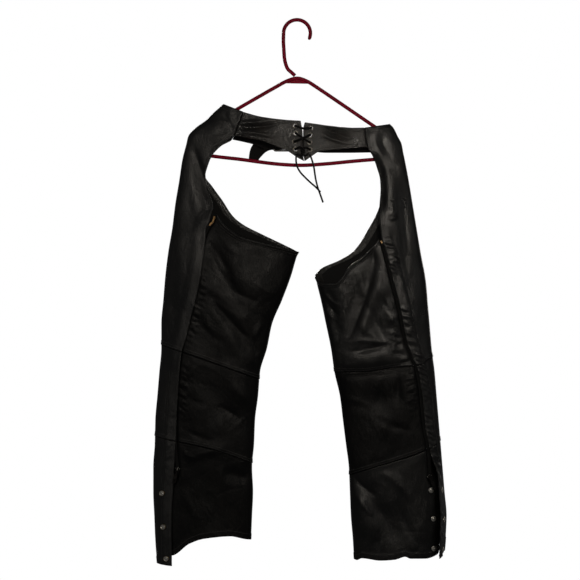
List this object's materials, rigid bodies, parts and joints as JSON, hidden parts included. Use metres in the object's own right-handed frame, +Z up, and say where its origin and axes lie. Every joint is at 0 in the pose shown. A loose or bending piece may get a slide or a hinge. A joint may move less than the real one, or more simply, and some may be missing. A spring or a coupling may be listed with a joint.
{
  "type": "leather chaps on a tubular hanger",
  "caption": "Black leather chaps hung flat on a burgundy tubular hanger, with a laced back yoke, a front buckle belt, side zips with snap flaps and open crotch.",
  "frame": {"origin": "underside of the top of the hanger's hook, where a rail holds it", "axes": "+X from the wearer's left leg to the right leg, +Y from the garment's back to its front, +Z up"},
  "size_m": [0.5879, 0.0687, 1.0961],
  "materials": {
    "leather_left": "satin grain",
    "leather_right": "soft gloss grain",
    "leather_yoke": "worn satin grain",
    "nickel": "polished nickel",
    "pull_metal": "dark metal",
    "zip_tape": "woven tape",
    "lace_leather": "round lace",
    "hanger_plastic": "gloss"
  },
  "bodies": {
    "garment": {"front_upper_left": "leather_left", "front_knee_left": "leather_left", "front_lower_left": "leather_left", "back_upper_left": "leather_left", "back_knee_left": "leather_left", "back_lower_left": "leather_left", "front_upper_right": "leather_right", "front_knee_right": "leather_right", "front_lower_right": "leather_right", "back_upper_right": "leather_right", "back_knee_right": "leather_right", "back_lower_right": "leather_right", "belt_left": "leather_right", "belt_right": "leather_right", "yoke_left": "leather_yoke", "yoke_right": "leather_yoke", "eyelet_left_1": "nickel", "eyelet_left_2": "nickel", "eyelet_left_3": "nickel", "eyelet_left_4": "nickel", "eyelet_right_1": "nickel", "eyelet_right_2": "nickel", "eyelet_right_3": "nickel", "eyelet_right_4": "nickel", "lace": "lace_leather", "lace_end_left": "lace_leather", "lace_end_right": "lace_leather", "buckle": "nickel", "zip_tape_left": "zip_tape", "zip_tape_right": "zip_tape", "zip_slider_left": "nickel", "zip_slider_right": "nickel", "snap_cap_left_1": "nickel", "snap_cap_left_2": "nickel", "snap_cap_left_3": "nickel", "snap_cap_right_1": "nickel", "snap_cap_right_2": "nickel", "snap_cap_right_3": "nickel", "snap_stud_right_1": "nickel", "snap_stud_right_2": "nickel", "snap_stud_right_3": "nickel", "hanger_hook": "hanger_plastic", "hanger_shoulders": "hanger_plastic", "hanger_bar": "hanger_plastic"},
    "pull_left": {"zip_pull_left": "pull_metal"},
    "pull_right": {"zip_pull_right": "pull_metal"}
  },
  "joints": [
    {"name": "pull_left_hinge", "type": "hinge", "parent": "garment", "child": "pull_left", "pos_m": [-0.24004, -0.02976, -0.9003], "axis": [-0.9662, 0.0923, 0.2409], "range_deg": [0, 150]},
    {"name": "pull_right_hinge", "type": "hinge", "parent": "garment", "child": "pull_right", "pos_m": [0.26717, -0.02704, -0.91513], "axis": [-0.9102, -0.1908, -0.3677], "range_deg": [0, 150]}
  ]
}
